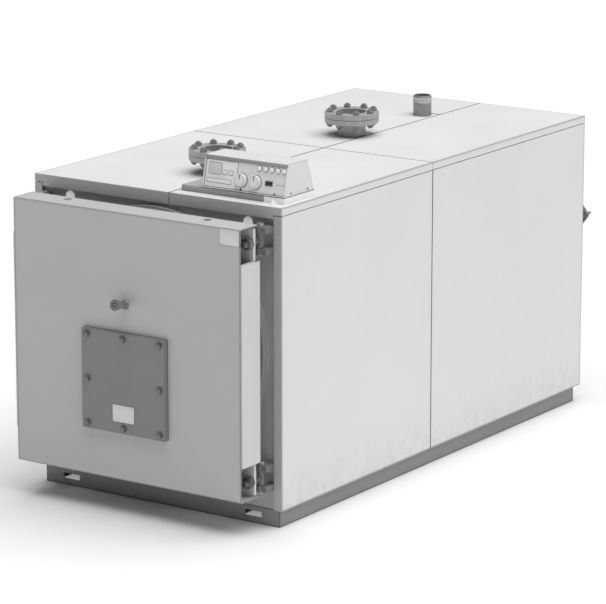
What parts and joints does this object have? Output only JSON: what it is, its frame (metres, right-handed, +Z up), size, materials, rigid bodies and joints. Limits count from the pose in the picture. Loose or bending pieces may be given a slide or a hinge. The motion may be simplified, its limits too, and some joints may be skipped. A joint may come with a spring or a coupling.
{
  "type": "industrial boiler",
  "caption": "Packaged hot-water boiler: sheet casing on a base frame, hinged front door with burner blanking plate, top flanges, control box and rear smoke box.",
  "frame": {"origin": "middle of the overall footprint, at floor level", "axes": "+X to the boiler's right seen from the door, +Y from the door to the smoke box, +Z up"},
  "size_m": [1.15, 2.7238, 1.375],
  "materials": {
    "frame_dark": "semi-matt dark grey",
    "boiler_steel": "matt heat-resisting primer over rolled steel",
    "casing_paint": "satin light grey powder coat",
    "smoke_box_paint": "matt dark heat-resisting paint",
    "fitting_steel": "satin mid grey primer",
    "gasket": "matt fibre sheet",
    "bare_steel": "plain steel",
    "hinge_steel": "semi-matt grey",
    "plinth_paint": "satin grey",
    "control_paint": "satin light grey",
    "control_face": "fine-grained mid grey",
    "knob_plastic": "satin grey",
    "door_paint": "satin mid grey powder coat",
    "door_steel": "semi-matt grey",
    "burner_plate_paint": "semi-matt dark grey",
    "refractory": "rough cast refractory",
    "sight_tube_steel": "satin grey"
  },
  "bodies": {
    "boiler": {"base_left_beam": "frame_dark", "base_right_beam": "frame_dark", "base_front_beam": "frame_dark", "base_rear_beam": "frame_dark", "rear_saddle": "frame_dark", "front_plate": "frame_dark", "sealing_ring": "boiler_steel", "boiler_shell": "boiler_steel", "front_tube_plate": "boiler_steel", "rear_tube_plate": "boiler_steel", "rear_shell_end": "boiler_steel", "furnace_tube": "boiler_steel", "smoke_tubes": "boiler_steel", "front_left_panel": "casing_paint", "front_right_panel": "casing_paint", "rear_left_panel": "casing_paint", "rear_right_panel": "casing_paint", "front_left_cover": "casing_paint", "front_right_cover": "casing_paint", "rear_left_cover": "casing_paint", "rear_right_cover": "casing_paint", "rear_panel": "casing_paint", "smoke_box": "smoke_box_paint", "smoke_box_cover": "smoke_box_paint", "flue_collar": "smoke_box_paint", "flow_connection": "fitting_steel", "flow_counter_flange": "fitting_steel", "return_connection": "fitting_steel", "return_counter_flange": "fitting_steel", "safety_nipple": "fitting_steel", "drain_nipple": "fitting_steel", "flange_gaskets": "gasket", "box_cover_studs": "bare_steel", "hinge_pins": "bare_steel", "flow_flange_bolts": "bare_steel", "return_flange_bolts": "bare_steel", "right_hinge_brackets": "hinge_steel", "left_clamp_brackets": "hinge_steel", "left_clamp_barrels": "hinge_steel", "control_plinth": "plinth_paint", "control_housing": "control_paint", "control_fascia": "control_face"},
    "door": {"door_skin": "door_paint", "door_plate": "door_steel", "door_refractory": "refractory", "door_left_cover": "door_paint", "door_right_cover": "door_paint", "burner_blanking_plate": "burner_plate_paint", "blanking_plate_bolts": "bare_steel", "sight_tube": "sight_tube_steel", "right_hinge_barrels": "hinge_steel", "door_studs": "bare_steel"},
    "left_dial": {"left_knob": "knob_plastic"},
    "right_dial": {"right_knob": "knob_plastic"}
  },
  "joints": [
    {"name": "door_hinge", "type": "hinge", "parent": "boiler", "child": "door", "pos_m": [0.504, -1.13207, 0.6545], "axis": [0, 0, 1], "range_deg": [0, 90]},
    {"name": "left_knob_turn", "type": "hinge", "parent": "boiler", "child": "left_dial", "pos_m": [0.345, -1.02409, 1.29602], "axis": [0, -0.9747, 0.2237], "range_deg": [-135, 135]},
    {"name": "right_knob_turn", "type": "hinge", "parent": "boiler", "child": "right_dial", "pos_m": [0.409, -1.02409, 1.29602], "axis": [0, -0.9747, 0.2237], "range_deg": [-135, 135]}
  ]
}
